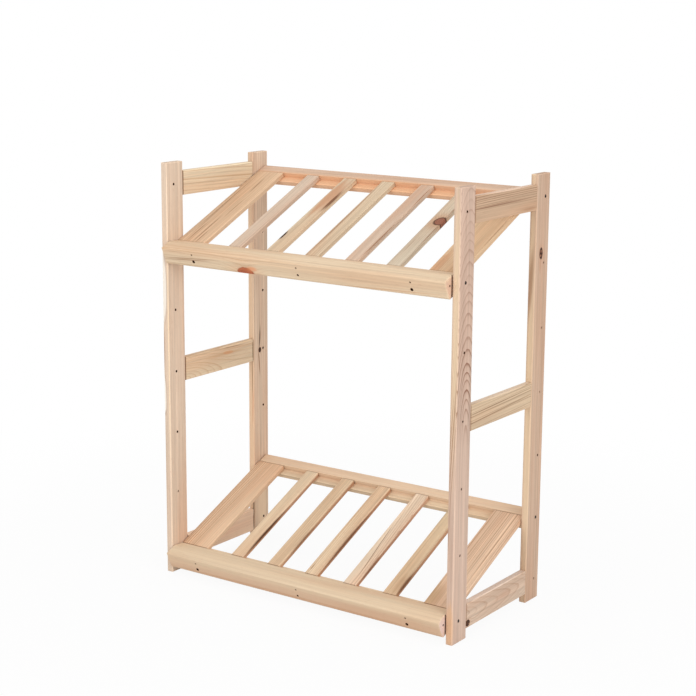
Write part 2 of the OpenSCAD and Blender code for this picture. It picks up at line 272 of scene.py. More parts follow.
# %% Node group: growth rings
elbow_size = 0.05                       # half the length over which the trunk turns
wander_rate = (2.2, 9, 9)               # slow bends per metre, along and across the grain
ragged_rate = (14, 90, 90)              # small bends of the ring lines
ragged_size = 0.0011
rings, wire, given, result = new_group(
    "growth rings",
    [("At", "Vector"), ("Pith", "Vector"), ("Lean", "Vector"), ("Ring width", "Float"),
     ("Swell", "Float"), ("Seed", "Float"), ("Bend", "Float"), ("Straight", "Float"), ("Elbow", "Float")],
    ["Summer wood"])
u, _, _ = wire.parts(given["At"])
turned = wire.math("SQRT", wire.add(wire.times(u, u), elbow_size ** 2))
run = wire.add(wire.times(u, given["Straight"]), wire.times(turned, given["Elbow"]))
slow = wire.bumps("3D", wire.vector("ADD", wire.vector("MULTIPLY", given["At"], wander_rate),
                                    wire.join(given["Seed"], 0.0, 0.0)), 1.0)
wander = wire.scaled(wire.vector("SUBTRACT", slow["Color"], (0.5, 0.5, 0.5)), given["Bend"])
from_pith = wire.vector("SUBTRACT", wire.vector("ADD", given["At"], wander),
                        wire.vector("ADD", given["Pith"], wire.scaled(given["Lean"], run)))
_, side, depth = wire.parts(from_pith)
radius = wire.math("SQRT", wire.add(wire.times(side, side), wire.times(depth, depth)))
ragged = wire.noise(given["At"], detail=1.0, stretch=ragged_rate)
radius = wire.add(wire.add(radius, given["Swell"]), wire.times(wire.less(ragged, 0.5), ragged_size))
print("distance from the pith:", len(rings.nodes), "nodes")

# %% Node group: from distance to summer wood
year_rate = 70.0                        # changes of the ring width, per metre from the pith
year_change = 1.8                       # how many rings those changes move a ring line
palest_year = 0.45                      # summer wood of the palest ring, beside the darkest
years = wire.bumps("1D", wire.add(wire.times(radius, year_rate), given["Seed"]), 1.0)
count = wire.add(wire.math("DIVIDE", radius, given["Ring width"]), wire.times(years["Fac"], year_change))
this_year = wire.node("ShaderNodeTexWhiteNoise", noise_dimensions="1D")
wire.feed(this_year.inputs["W"], wire.add(wire.math("FLOOR", count), given["Seed"]))
strength = wire.add(palest_year, wire.times(this_year.outputs["Value"], 1 - palest_year))
profile = wire.curve(wire.math("FRACT", count),
                     [(0.0, 0.0), (0.4, 0.05), (0.68, 0.2), (0.85, 0.85), (0.95, 1.0), (1.0, 0.0)])
wire.feed(result["Summer wood"], wire.times(profile, strength))
print("ring rule:", len(rings.nodes), "nodes")

# %% [markdown]
# Fibres, bands and resin ducts
#
# Between the rings the wood isn't even. It is made of fine fibres along the grain, with
# paler and darker lines and wider bands among them, here and there a warm blush, and the
# resin ducts of pine, which show as short brown dashes. All of them are noise that is
# stretched a great deal along the grain: few features per metre that way, many across.

# %% Node group: fibres
fibres, wire, given, result = new_group("fibres", [("At", "Vector"), ("Seed", "Float")],
                                        ["Fibre", "Line", "Band", "Blush", "Duct"])
wire.feed(result["Fibre"], wire.noise(given["At"], 3.0, 0.7, (26, 1300, 1300)))
wire.feed(result["Line"], wire.noise(given["At"], 2.0, 0.7, (5, 330, 330), given["Seed"]))
wire.feed(result["Band"], wire.noise(given["At"], 3.0, 0.6, (2.4, 120, 120), given["Seed"]))
wire.feed(result["Blush"], wire.noise(given["At"], 1.0, 0.5, (3.0, 26, 26), given["Seed"]))
duct = wire.noise(given["At"], 1.0, 0.5, (60, 1000, 1000), given["Seed"])
wire.feed(result["Duct"], wire.ease(duct, 0.66, 0.74))
print("fibre rule:", len(fibres.nodes), "nodes")

# %% [markdown]
# Knots
#
# A knot is the foot of a branch that the trunk grew around. It is a rod that points away
# from the pith, so on a face it shows as a round or long oval, and the rings of the trunk
# swell outwards around it. The group measures the distance from the branch's own line,
# stretched along the grain, and gives four things: how much the trunk's rings swell, the
# body of the knot, the bark line that edges a dead knot, and the knot's own fine rings.

# %% Node group: knot
knot_ragged = 0.35                      # how uneven its edge is
knot, wire, given, result = new_group(
    "knot",
    [("At", "Vector"), ("Middle", "Vector"), ("Branch", "Vector"), ("Size", "Float"), ("Long", "Float")],
    ["Swell", "Body", "Edge", "Rings"])
off = wire.vector("SUBTRACT", given["At"], given["Middle"])
outward = wire.vector("DOT_PRODUCT", off, given["Branch"])
off = wire.vector("SUBTRACT", off, wire.scaled(given["Branch"], outward))
along_grain, sideways, through = wire.parts(off)
off = wire.join(wire.math("DIVIDE", along_grain, given["Long"]), sideways, through)
ragged = wire.noise(given["At"], detail=2.0, stretch=(160, 260, 260))
reach = wire.math("DIVIDE", wire.length(off), given["Size"])
reach = wire.add(reach, wire.times(wire.less(ragged, 0.5), knot_ragged))
print("distance from the branch, 1 at the edge of the knot:", len(knot.nodes), "nodes")

# %% Node group: from distance to knot
knot_swell = 1.1                        # how far the rings move round a knot, in knot sizes
knot_decay = -0.22                      # and how fast that dies away
knot_rings = 3.2                        # its own rings, from the middle to the edge
fall = wire.math("POWER", 2.718, wire.times(wire.times(reach, reach), knot_decay))
wire.feed(result["Swell"], wire.times(wire.times(given["Size"], knot_swell), fall))
wire.feed(result["Body"], wire.ease(reach, 1.08, 0.92))
wire.feed(result["Edge"], wire.times(wire.ease(reach, 0.74, 0.95), wire.ease(reach, 1.25, 1.0)))
own_rings = wire.math("FRACT", wire.times(reach, knot_rings))
wire.feed(result["Rings"], wire.curve(own_rings, [(0.0, 0.1), (0.7, 0.5), (0.9, 1.0), (1.0, 0.1)]))
print("knot rule:", len(knot.nodes), "nodes")

# %% [markdown]
# The tones of pine
#
# Planed pine is cream to orange, and each stick has a tone of its own: one for its spring
# wood and a browner one for its summer wood. Colours are chosen as a screen shows them,
# and `paint` turns them into the linear light that shaders reckon in.

# %% The tones of pine


def paint(red, green, blue):
    """A colour as seen on a screen, 0 to 255, in linear light by the rule of the sRGB screen."""
    seen = np.array([red, green, blue]) / 255.0
    linear = np.where(seen <= 0.04045, seen / 12.92, ((seen + 0.055) / 1.055) ** 2.4)
    return (*[float(value) for value in linear], 1.0)


def wood_tone(spring, summer):
    """The two colours of one stick's wood."""
    return {"spring": paint(*spring), "summer": paint(*summer)}


cream = wood_tone((233, 209, 178), (202, 160, 118))
pale = wood_tone((232, 208, 185), (203, 163, 132))
honey = wood_tone((230, 203, 170), (192, 146, 104))
rose = wood_tone((223, 193, 168), (180, 133, 102))
straw = wood_tone((226, 202, 169), (188, 150, 110))
amber = wood_tone((230, 197, 160), (188, 138, 98))
heart_tint = paint(232, 176, 137)       # what a blush multiplies the wood by
end_tint = paint(205, 178, 150)         # and what a sawn end does
# a rounded corner is paler planed wood, lightened further by a painted highlight
pale_and_lit_corner_tint = (1.25, 1.26, 1.24, 1.0)    # and a planed corner, which catches light
knot_red = paint(170, 92, 58)
knot_dark = paint(58, 30, 18)
bark = paint(48, 26, 16)
# the dark brown of a hole's wall: scorch, and painted shade inside the hole
scorch_and_shade = paint(62, 31, 8)
seam = paint(104, 62, 38)
vein = paint(120, 78, 52)
umber = paint(150, 104, 74)
russet = paint(190, 104, 68)
sapwood = paint(240, 214, 178)
bleached = paint(252, 243, 230)
print("cream spring wood in linear light:", [round(value, 3) for value in cream["spring"][:3]])

# %% [markdown]
# One stick and its own directions
#
# Each stick gets a material of its own, because no two sticks come from the same place in
# the trunk. The object's coordinates are turned so that the first runs along the stick's
# grain, the second across its face and the third out of it. From then on a rule that is
# written for one stick holds for all. The colour is built up in coats, as a finisher
# would: a `stain` multiplies what is there and keeps the figure, a `cover` hides it.

# %% Stick: its frame, its material and its coats of colour


class Stick:
    """A stick of the rack, with the material that is being built up on it."""

    def __init__(self, node, grain, face):
        corners = np.array([corner.co[:] for corner in rack[node].data.vertices]) @ np.array(grain)
        self.half = float(corners.max() - corners.min()) / 2
        low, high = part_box(node)
        self.middle = (low + high) / 2
        self.turn = Matrix([tuple(row.normalized()) for row in (grain, face.cross(grain), face)])
        self.material = bpy.data.materials.new(node + "_pine")
        self.material.use_nodes = True
        self.material.node_tree.nodes.clear()
        self.wire = WoodWiring(self.material.node_tree)
        coordinates = self.wire.node("ShaderNodeTexCoord")
        # A Mapping node turns a point before it moves it, so the middle is turned here as well.
        mapping = self.wire.node("ShaderNodeMapping", vector_type="POINT")
        mapping.inputs["Rotation"].default_value = self.turn.to_euler("XYZ")
        mapping.inputs["Location"].default_value = -(self.turn @ self.middle)
        self.wire.feed(mapping.inputs["Vector"], coordinates.outputs["Object"])
        self.at = mapping.outputs["Vector"]
        self.along, self.side, _ = self.wire.parts(self.at)
        self.normal = coordinates.outputs["Normal"]
        self.colour = None

    def place(self, point):
        """A point of the rack in the stick's own directions, from the stick's middle."""
        return self.turn @ (Vector(point) - self.middle)

    def direction(self, arrow):
        return (self.turn @ Vector(arrow)).normalized()

    def stain(self, share, colour):
        self.colour = self.wire.tint(share, self.colour, colour, "MULTIPLY")

    def cover(self, share, colour):
        self.colour = self.wire.tint(share, self.colour, colour)


def dress(node, material):
    """Puts one material on every slot of a CAD node."""
    for slot in rack[node].material_slots:
        slot.material = material


print("sticks to dress:", len([node for node in rack if not node.endswith(("pins", "screws"))]))

# %% [markdown]
# Clear wood
#
# The wood is coloured from the large to the small: the spring wood, the summer wood over
# it, a blush where the wood is warmer, then lines, bands and fibres that make it lighter or
# darker by a few per cent, and last the resin ducts.

# %% Summer wood


def summer_wood(stick, swell, pith, lean, elbow, ring, seed, bend, strength, along, fade):
    """How much summer wood there is at each point of a stick, from the ring rule."""
    wire = stick.wire
    group = wire.node("ShaderNodeGroup", node_tree=rings)
    settings = {"At": stick.at, "Pith": (0.0, *pith), "Lean": (0.0, *lean), "Ring width": ring,
                "Straight": 1 - abs(elbow) / 2, "Elbow": elbow / 2, "Seed": seed, "Bend": bend,
                "Swell": swell}
    for label, value in settings.items():
        wire.feed(group.inputs[label], value)
    summer = wire.times(group.outputs["Summer wood"], strength)
    if along:
        end_to_end = wire.add(wire.times(stick.along, 0.5 / stick.half), 0.5)
        summer = wire.times(summer, wire.curve(end_to_end, along))
    if fade:
        summer = wire.times(summer, wire.ease(stick.side, *fade))
    return summer


print("the ring rule takes:", [socket.name for socket in rings.interface.items_tree
                               if socket.in_out == "INPUT"])

# %% Clear wood
lightness = {"Line": (0.86, 1.05), "Band": (0.88, 1.06), "Fibre": (0.93, 1.05)}
blush_from, blush_to = 0.35, 0.75       # where the blush noise begins and is full
duct_share = 0.22


def clear_wood(stick, summer, fibre, tone, shade, blush, plain):
    """Colours a stick from its rings and fibres; shade makes all of it lighter or darker."""
    wire = stick.wire
    stick.colour = tone["spring"]
    stick.cover(wire.math("MINIMUM", summer, 1.0), tone["summer"])
    stick.stain(wire.times(wire.ease(fibre["Blush"], blush_from, blush_to), blush), heart_tint)
    for name, (low, high) in lightness.items():
        level = shade if name == "Line" else 1.0
        low += plain * (1 - low)
        high += plain * (1 - high)
        stick.stain(1.0, wire.curve(fibre[name], [(0.3, low * level), (0.7, high * level)]))
    stick.cover(wire.times(fibre["Duct"], duct_share), knot_red)


print("darkest and lightest of each figure:", lightness)

# %% [markdown]
# Knots and streaks on a stick
#
# The rings have to swell round a knot, so the knots are set before the rings are worked
# out, and coloured after the clear wood: first a warm halo, then the body with its own
# rings, then the line of bark.
#
# A streak is any other mark along the grain: a pitch line, a stain, the bleached strip
# where bark was shaved off, the paler narrow face of a stick, and in a few places painted
# light and painted shade. It is a long soft ellipsoid about a point, and the bands of the
# wood make its edge uneven. A streak is good for marks seen on one face, because it is
# given by its place in space and is thin.

# %% Knots
full_halo = 0.0111                      # swelling of the rings where a knot's halo is full


def branch(place, direction, size, long, dark, colour):
    """A knot: its middle, the branch's direction, radius, length ratio, darkness and colour."""
    return place, direction, size, long, dark, colour


def set_knots(stick, knots):
    """Adds a node for each knot, and returns them with the swelling of the rings round all."""
    swell, bodies = 0.0, []
    for place, direction, size, long, dark, colour in knots:
        group = stick.wire.node("ShaderNodeGroup", node_tree=knot)
        settings = {"At": stick.at, "Middle": stick.place(place), "Branch": stick.direction(direction),
                    "Size": size, "Long": long}
        for label, value in settings.items():
            stick.wire.feed(group.inputs[label], value)
        swell = stick.wire.add(swell, group.outputs["Swell"])
        bodies.append((group.outputs, dark, colour))
    return swell, bodies


def colour_knots(stick, bodies, height):
    """Colours the knots, and returns the bump height with their bark lines cut into it."""
    wire = stick.wire
    for body, dark, colour in bodies:
        centre = wire.tint(wire.times(body["Rings"], 0.2 + 0.4 * dark), colour, knot_dark)
        halo = wire.ease(body["Swell"], 0.0, full_halo)
        stick.stain(wire.times(halo, 0.25 + 0.3 * dark), heart_tint)
        stick.cover(wire.times(body["Body"], 0.95), centre)
        stick.cover(wire.times(body["Edge"], 0.12 + 0.8 * dark), bark)
        height = wire.less(height, wire.times(body["Edge"], 1.5 * dark))
    return height


print("a knot gives:", [socket.name for socket in knot.interface.items_tree if socket.in_out == "OUTPUT"])

# %% Streaks
streak_edge = 1.1                       # where a streak has faded out, in half sizes
streak_uneven = 0.9                     # how far the bands of the wood move that edge


def streak(place, half_long, half_wide, share, colour, tilt=(0, 0), soft=0.8):
    """A mark along the grain; tilt is how far it drifts across and through, for its length."""
    return place, half_long, half_wide, share, colour, tilt, soft


def draw_streaks(stick, streaks, band):
    """Covers the wood where the distance from a streak's middle, in its half sizes, is small."""
    wire = stick.wire
    for place, half_long, half_wide, share, colour, tilt, soft in streaks:
        off = wire.vector("SUBTRACT", stick.at, stick.place(place))
        drift = wire.scaled((0.0, *tilt), wire.parts(off)[0])
        off = wire.vector("MULTIPLY", wire.vector("SUBTRACT", off, drift),
                          (1 / half_long, 1 / half_wide, 1 / half_wide))
        reach = wire.add(wire.length(off), wire.times(wire.less(band, 0.5), streak_uneven))
        stick.cover(wire.times(wire.ease(reach, streak_edge, streak_edge - soft), share), colour)


print("a streak fades out at %.1f times its half sizes" % streak_edge)

# %% [markdown]
# Saw, plane and drill
#
# A sawn end drinks in dust and looks darker than the planed faces. The corners of a stick
# are rounded by the planer and look paler, and a painted highlight lightens them further,
# as if they caught the light. Both show in the normal: it points along the grain on a sawn
# end, and along no direction of the stick on a rounded corner. Where a stick's end meets
# other wood there is a narrow dark seam. A drill rubs and scorches the wall of its hole,
# more in one hole than in the next, and painted shade darkens that wall further.

# %% Sawn ends, corners and seams
end_share = 0.12
seam_from, seam_to = 0.0024, 0.0010     # a seam darkens between these distances from the end


def work_ends_and_corners(stick, pale_and_lit_corners, joined):
    """Darkens the sawn ends, lightens the rounded corners with paler wood and a painted highlight, and draws
    the seams at both ends.
    """
    wire = stick.wire
    facing = [wire.math("ABSOLUTE", wire.vector("DOT_PRODUCT", stick.normal, tuple(row)))
              for row in stick.turn]
    stick.stain(wire.times(wire.ease(facing[0], 0.6, 0.95), end_share), end_tint)
    # flat is 1 on every face of the stick and smaller on a rounded corner
    flat = wire.math("MAXIMUM", facing[0], wire.math("MAXIMUM", facing[1], facing[2]))
    # painted highlight: the rounded corners are lightened as if they caught the light, over their paler
    # planed wood
    stick.stain(wire.times(wire.ease(flat, 0.99, 0.85), pale_and_lit_corners), pale_and_lit_corner_tint)
    if joined:
        from_middle = wire.math("ABSOLUTE", stick.along)
        end = wire.ease(from_middle, stick.half - seam_from, stick.half - seam_to)
        stick.cover(wire.times(end, joined), seam)


print("a seam is %.1f mm wide" % (1000 * seam_from))

# %% Scorched holes, darkened further with painted shade
rim_from, rim_to = 0.0009, 0.0002       # beside a hole, scorching begins here and is full there


def darken_holes(stick, holes):
    """Browns the wall and rim of each hole, a rod about the hole's axis: scorch at the rim and painted shade
    down the wall.
    """
    wire = stick.wire
    for mouth, axis, size, depth, share in holes:
        off = wire.vector("SUBTRACT", stick.at, stick.place(mouth))
        line = stick.direction(axis)
        deep = wire.vector("DOT_PRODUCT", off, line)
        off = wire.vector("SUBTRACT", off, wire.scaled(line, deep))
        inside = wire.ease(wire.length(off), size + rim_from, size + rim_to)
        inside = wire.times(inside, wire.math("LESS_THAN", wire.math("ABSOLUTE", deep), depth))
        # painted shade: the wall of the hole is painted dark brown as well as scorched
        stick.cover(wire.times(inside, share), scorch_and_shade)


print("scorching reaches %.1f mm round a hole" % (1000 * rim_from))

# %% [markdown]
# The whole finish of a stick
#
# Now the coats can be laid one after the other. Bare planed pine has hardly any gloss, so
# the shader's specular level is low, and a very fine bump lets the summer wood and the
# fibres stand a little proud of the rest.

# %% Material of a stick


def pine(node, grain, face, pith, lean=(0, 0), elbow=0.0, ring=0.0034, seed=0.0, bend=0.008,
         tone=cream, shade=1.0, strength=0.7, along=None, fade=None, blush=0.25, plain=0.0,
         knots=(), streaks=(), holes=(), joined=0.45, pale_and_lit_corners=0.7):
    """Dresses one stick of the rack in its own pine.

    grain and face are the stick's directions. pith is where the middle of the trunk lies, as
    (across, through) from the stick's middle; lean is how far it strays for each metre of
    length, and elbow, 1 or -1, lets it stray on the far or the near half only. ring is the
    mean ring width, bend how far the rings wander, and seed makes each stick's noise its own.
    tone holds its two colours and shade lightens or darkens both. strength is how dark the
    summer wood is; along gives (place, factor) stops for it from the near end to the far end,
    and fade (from, to) lets it grow over the stick's width. blush is how warm its patches
    are, and plain, up to 1, how even the wood is between its rings. Each hole is (mouth,
    axis, radius, depth, share of dark wall), the scorch and painted shade of its wall. joined
    is how dark the line is where the stick's ends meet other wood, and pale_and_lit_corners
    how much paler its rounded corners are: paler planed wood and a painted highlight.
    """
    stick = Stick(node, grain, face)
    wire = stick.wire
    swell, bodies = set_knots(stick, knots)
    summer = summer_wood(stick, swell, pith, lean, elbow, ring, seed, bend, strength, along, fade)
    group = wire.node("ShaderNodeGroup", node_tree=fibres)
    wire.feed(group.inputs["At"], stick.at)
    wire.feed(group.inputs["Seed"], seed)
    fibre = group.outputs["Fibre"]
    clear_wood(stick, summer, group.outputs, tone, shade, blush, plain)
    height = wire.add(wire.times(summer, 0.5), wire.times(fibre, 0.5))
    height = colour_knots(stick, bodies, height)
    draw_streaks(stick, streaks, group.outputs["Band"])
    work_ends_and_corners(stick, pale_and_lit_corners, joined)
    darken_holes(stick, holes)

    bump = wire.node("ShaderNodeBump")
    bump.inputs["Strength"].default_value = 0.35
    bump.inputs["Distance"].default_value = 0.0004
    wire.feed(bump.inputs["Height"], height)
    shader = wire.node("ShaderNodeBsdfPrincipled")
    shader.inputs["Specular IOR Level"].default_value = 0.12
    wire.feed(shader.inputs["Base Color"], stick.colour)
    wire.feed(shader.inputs["Roughness"], wire.curve(fibre, [(0.3, 0.60), (0.7, 0.72)]))
    wire.feed(shader.inputs["Normal"], bump.outputs["Normal"])
    wire.feed(wire.node("ShaderNodeOutputMaterial").inputs["Surface"], shader.outputs["BSDF"])
    dress(node, stick.material)


print("a stick's finish has %d values that may be left out" % len(pine.__defaults__))

# %% [markdown]
# The posts
#
# Four posts, all planed to one section. Their wide faces look sideways, `across` the rack.
# Where the pith lies close to a face, the rings are cut at a low angle and show arches:
# the right front post shows a column of them, one inside the other, strongest halfway up.
# The others are cut further out and show straight lines. The left front post was sawn at the
# edge of the trunk, and the plane has only just cleaned its corner, which left two
# bleached strips with a dark rim. The other posts have a paler narrow face at the front,
# and a long broad streak covers it.

# %% Places on the side frames
outer, inner = 0.348, 0.333             # the two faces of a side frame, from the rack's middle
core = (outer + inner) / 2
front_edge, rear_edge = -0.1521, 0.1229     # the front faces of the front and the rear posts
face_half = 0.0085                      # covers a narrow face, 15 mm wide
post_hole_radius = 0.0021               # a little more than the hole has itself
right_through = 1.0                     # a depth that is more than any stick has
# how dark each hole's wall is painted, scorch and painted shade together, from the lowest one up
hole_share = {                          # how scorched each hole is, from the lowest one up
    "left_front_post": (1, 0.3, 1, 1, 1, 1, 1),
    "left_rear_post": (1, 1, 1, 1, 1, 1, 1),
    "right_front_post": (1, 0.5, 0.6, 0.7, 0.9, 1, 0.95),
    "right_rear_post": (0.35, 1, 0.8, 0.15, 0.25, 0.4, 1)}
post_holes = {}
for post, shares in hole_share.items():
    hole_y = front_hole_y if "front" in post else rear_hole_y
    post_holes[post] = [((0, hole_y, first_hole + step * hole_rise), across, post_hole_radius,
                         right_through, share) for step, share in enumerate(shares)]
print("holes to scorch in the posts:", sum(len(holes) for holes in post_holes.values()))

# %% Left posts
posts = {
    "left_front_post": dict(
        pith=(0.050, -0.020), lean=(0.004, 0), seed=3.1, tone=pale, strength=0.25,
        streaks=[streak((-outer, front_edge, 0.600), 0.098, 0.0120, 0.45, vein, (0, -0.012), 0.25),
                 streak((-outer, front_edge, 0.600), 0.092, 0.0108, 0.85, bleached, (0, -0.012), 0.25),
                 streak((-0.3470, front_edge, 0.385), 0.048, 0.0060, 0.45, vein, (0, -0.04), 0.25),
                 streak((-0.3472, front_edge, 0.386), 0.044, 0.0046, 0.85, bleached, (0, -0.04), 0.25),
                 streak((-0.3450, front_edge, 0.470), 0.060, 0.0022, 0.5, umber, (0, 0.02), 0.6),
                 streak((-0.3345, front_edge, 0.50), 0.32, 0.0020, 0.5, sapwood)]),
    "left_rear_post": dict(
        pith=(0.030, -0.045), lean=(0.01, 0), seed=7.7, shade=1.07, strength=0.55,
        tone=wood_tone((221, 196, 172), (178, 136, 106)),
        knots=[branch((-inner, 0.1437, 0.422), across, 0.0042, 1.2, 1.0, knot_dark)],
        streaks=[streak((-inner, 0.1432, 0.448), 0.030, 0.0022, 0.85, knot_dark, (-0.06, 0)),
                 streak((-inner, 0.1412, 0.395), 0.036, 0.0020, 0.8, umber, (0.10, 0)),
                 streak((-inner, 0.1455, 0.460), 0.030, 0.0014, 0.6, umber, (0.06, 0)),
                 streak((-core, rear_edge, 0.30), 0.70, face_half, 0.75, paint(234, 200, 165)),
                 streak((-0.3370, rear_edge, 0.36), 0.05, 0.0020, 0.6, umber),
                 streak((-0.3362, rear_edge, 0.30), 0.05, 0.0018, 0.6, paint(206, 138, 100), (0, 0.02), 0.7),
                 # Painted light: the foot of this post, in the shade of the lower shelf, is painted paler.
                 streak((-inner, 0.1500, 0.070), 0.080, 0.0300, 0.85, paint(250, 222, 190)),
                 streak((-0.3360, rear_edge, 0.075), 0.03, 0.0030, 0.6, knot_dark)])}
for post, values in posts.items():
    pine(post, up, across, holes=post_holes[post], joined=0, **values)
print("left posts finished:", len(posts))

# %% Right posts
posts = {
    "right_front_post": dict(
        pith=(-0.008, -0.0175), lean=(0, -0.165), elbow=1.0, seed=12.4, strength=1.0, bend=0.009,
        ring=0.0030, blush=0.1, tone=wood_tone((214, 186, 167), (130, 82, 58)),
        along=[(0.0, 0.06), (0.44, 0.08), (0.50, 0.9), (0.62, 1.0), (0.70, 0.45), (1.0, 0.28)],
        streaks=[streak((core, front_edge, 0.62), 0.36, face_half, 0.75, paint(232, 206, 171)),
                 streak((core, front_edge, 0.035), 0.06, face_half, 0.85, paint(218, 176, 140), soft=0.5),
                 streak((core, front_edge, 0.395), 0.115, 0.0011, 0.75, umber, (0, 0.052), 0.6),
                 streak((0.3425, front_edge, 0.350), 0.090, 0.0009, 0.55, umber, (0, 0.052), 0.6),
                 streak((0.3380, front_edge, 0.420), 0.070, 0.0009, 0.55, umber, (0, 0.052), 0.6),
                 streak((0.3370, front_edge, 0.245), 0.080, 0.0010, 0.5, umber, (0, 0.03), 0.6)]),
    "right_rear_post": dict(
        pith=(-0.055, -0.03), seed=21.9, tone=rose, shade=0.90, strength=0.55,
        knots=[branch((outer, 0.1440, 0.698), (1, 0, 0.2), 0.0054, 2.0, 1.0, knot_dark)],
        streaks=[streak((outer, 0.1437, 0.7020), 0.0034, 0.0020, 0.9, paint(170, 120, 92), soft=0.5),
                 streak((outer, 0.1430, 0.6935), 0.0030, 0.0022, 0.9, paint(170, 120, 92), soft=0.5),
                 streak((outer, 0.1420, 0.672), 0.018, 0.0030, 0.45, paint(188, 134, 104)),
                 streak((core, rear_edge, 0.42), 0.70, face_half, 0.6, sapwood),
                 streak((0.3390, rear_edge, 0.640), 0.090, 0.0065, 0.6, paint(146, 98, 70), (0, 0.045))])}
for post, values in posts.items():
    pine(post, up, across, holes=post_holes[post], joined=0, **values)
print("right posts finished:", len(posts))

# %% [markdown]
# The frame rails
#
# Three rails join the posts of each side frame, with their grain running from front to
# back. A rail butts against the posts, so its ends show as thin brown seams. On the right
# side the narrow top faces look to the light, and a paler streak of painted light over each
# makes them paler than the wide faces. The two dark streaks near the rear ends of the left
# rails are joints that aren't quite closed.

# %% Left frame rails
bottom_rail, middle_rail, top_rail = [first_hole + step * hole_rise for step in (0, 3, 6)]
left_rails = {
    "left_top_rail": dict(
        pith=(0.06, -0.05), lean=(-0.03, 0), seed=5.2, shade=1.08, strength=0.8, ring=0.0055,
        tone=wood_tone((233, 214, 185), (204, 170, 133))),
    "left_middle_rail": dict(
        pith=(-0.022, -0.028), lean=(0.0, -0.3), elbow=-1.0, seed=8.8, strength=0.6, ring=0.005,
        streaks=[streak((-inner, 0.020, 0.434), 0.07, 0.004, 0.4, honey["summer"]),
                 streak((-inner, 0.036, 0.4350), 0.019, 0.004, 0.6, paint(214, 152, 108), (-0.05, 0), 0.6),
                 streak((-inner, 0.052, 0.4452), 0.045, 0.0011, 0.7, umber, (-0.03, 0), 0.7),
                 streak((-inner, 0.1198, middle_rail), 0.0020, 0.027, 0.8, seam, soft=0.5)]),
    "left_bottom_rail": dict(
        pith=(0.03, -0.06), seed=2.4, shade=1.21, strength=0.2, pale_and_lit_corners=0.3, plain=0.6,
        tone=wood_tone((232, 203, 177), (192, 150, 119)),
        streaks=[streak((-inner, 0.1198, bottom_rail), 0.0022, 0.027, 0.9, seam, soft=0.5)])}
for rail, values in left_rails.items():
    pine(rail, back, across, joined=0.8, **values)
print("left rails finished:", len(left_rails))

# %% Right frame rails
rail_half = 0.0245                      # half a rail's height


def lit_top_streak(height, colour):
    """Painted light: a paler streak over the narrow top face of a right rail whose middle line is at this
    height.
    """
    return streak((core, 0.010, height + rail_half), 0.14, 0.0072, 0.8, colour, soft=0.4)


right_rails = {
    "right_top_rail": dict(
        pith=(0.07, -0.05), lean=(0.01, 0), seed=15.5, strength=0.95, ring=0.0031, fade=(-0.005, 0.0),
        tone=wood_tone((206, 174, 145), (132, 92, 68)),
        streaks=[streak((outer, -0.010, 0.8070), 0.13, 0.0011, 0.7, paint(128, 88, 62), (0.01, 0), 0.7),
                 streak((outer, -0.030, 0.8098), 0.10, 0.0009, 0.6, umber, (0.02, 0), 0.7),
                 streak((outer, 0.095, 0.7880), 0.045, 0.0035, 0.4, umber),
                 lit_top_streak(top_rail, paint(233, 203, 180))]),
    "right_middle_rail": dict(
        pith=(-0.08, -0.03), lean=(0.042, 0), seed=31.0, strength=0.7, ring=0.0068, bend=0.004,
        tone=wood_tone((219, 193, 162), (130, 88, 60)),
        streaks=[streak((outer, 0.010, 0.4350), 0.16, 0.0012, 0.75, paint(116, 78, 52), (0.040, 0), 0.7),
                 streak((outer, 0.010, 0.4205), 0.16, 0.0012, 0.65, paint(124, 84, 56), (0.055, 0), 0.7),
                 lit_top_streak(middle_rail, paint(231, 209, 186))]),
    "right_bottom_rail": dict(
        pith=(0.004, -0.03), lean=(0.0, -0.12), seed=40.3, strength=0.5, bend=0.02,
        tone=wood_tone((221, 197, 175), (178, 136, 108)),
        knots=[branch((outer, -0.0970, 0.0285), across, 0.0058, 1.1, 1.0, knot_dark)],
        streaks=[streak((outer, 0.035, 0.0440), 0.035, 0.007, 0.35, paint(190, 146, 120)),
                 streak((outer, -0.0925, 0.0258), 0.0022, 0.0018, 0.8, paint(160, 116, 86), soft=0.6),
                 lit_top_streak(bottom_rail, paint(232, 212, 197))])}
for rail, values in right_rails.items():
    pine(rail, back, across, **values)
print("right rails finished:", len(right_rails))

# %% [markdown]
# The shelf rails
#
# The grain of the nose rails and rear rails runs across the rack. The upper nose rail has
# a red knot cut in half by its lower edge. Three pairs of blind holes are drilled into the
# face of a nose rail, and one hole into each of its ends. A narrow gap is left between
# those ends and the posts, and a thin dark line of painted shade down each end of the rail
# stands for the shadow in that gap.

# %% Marks on the nose rails
nose_face = -0.0372                     # the front face of a nose rail, along the slats
nose_end = 0.3325                       # just past its end, from the rack's middle


def nose_mark(row, x, n, *values, **more):
    """A streak on the face of a nose rail: x across the rack, n above the slat tops."""
    return streak(shelf_place(row, x, nose_face, n), *values, **more)


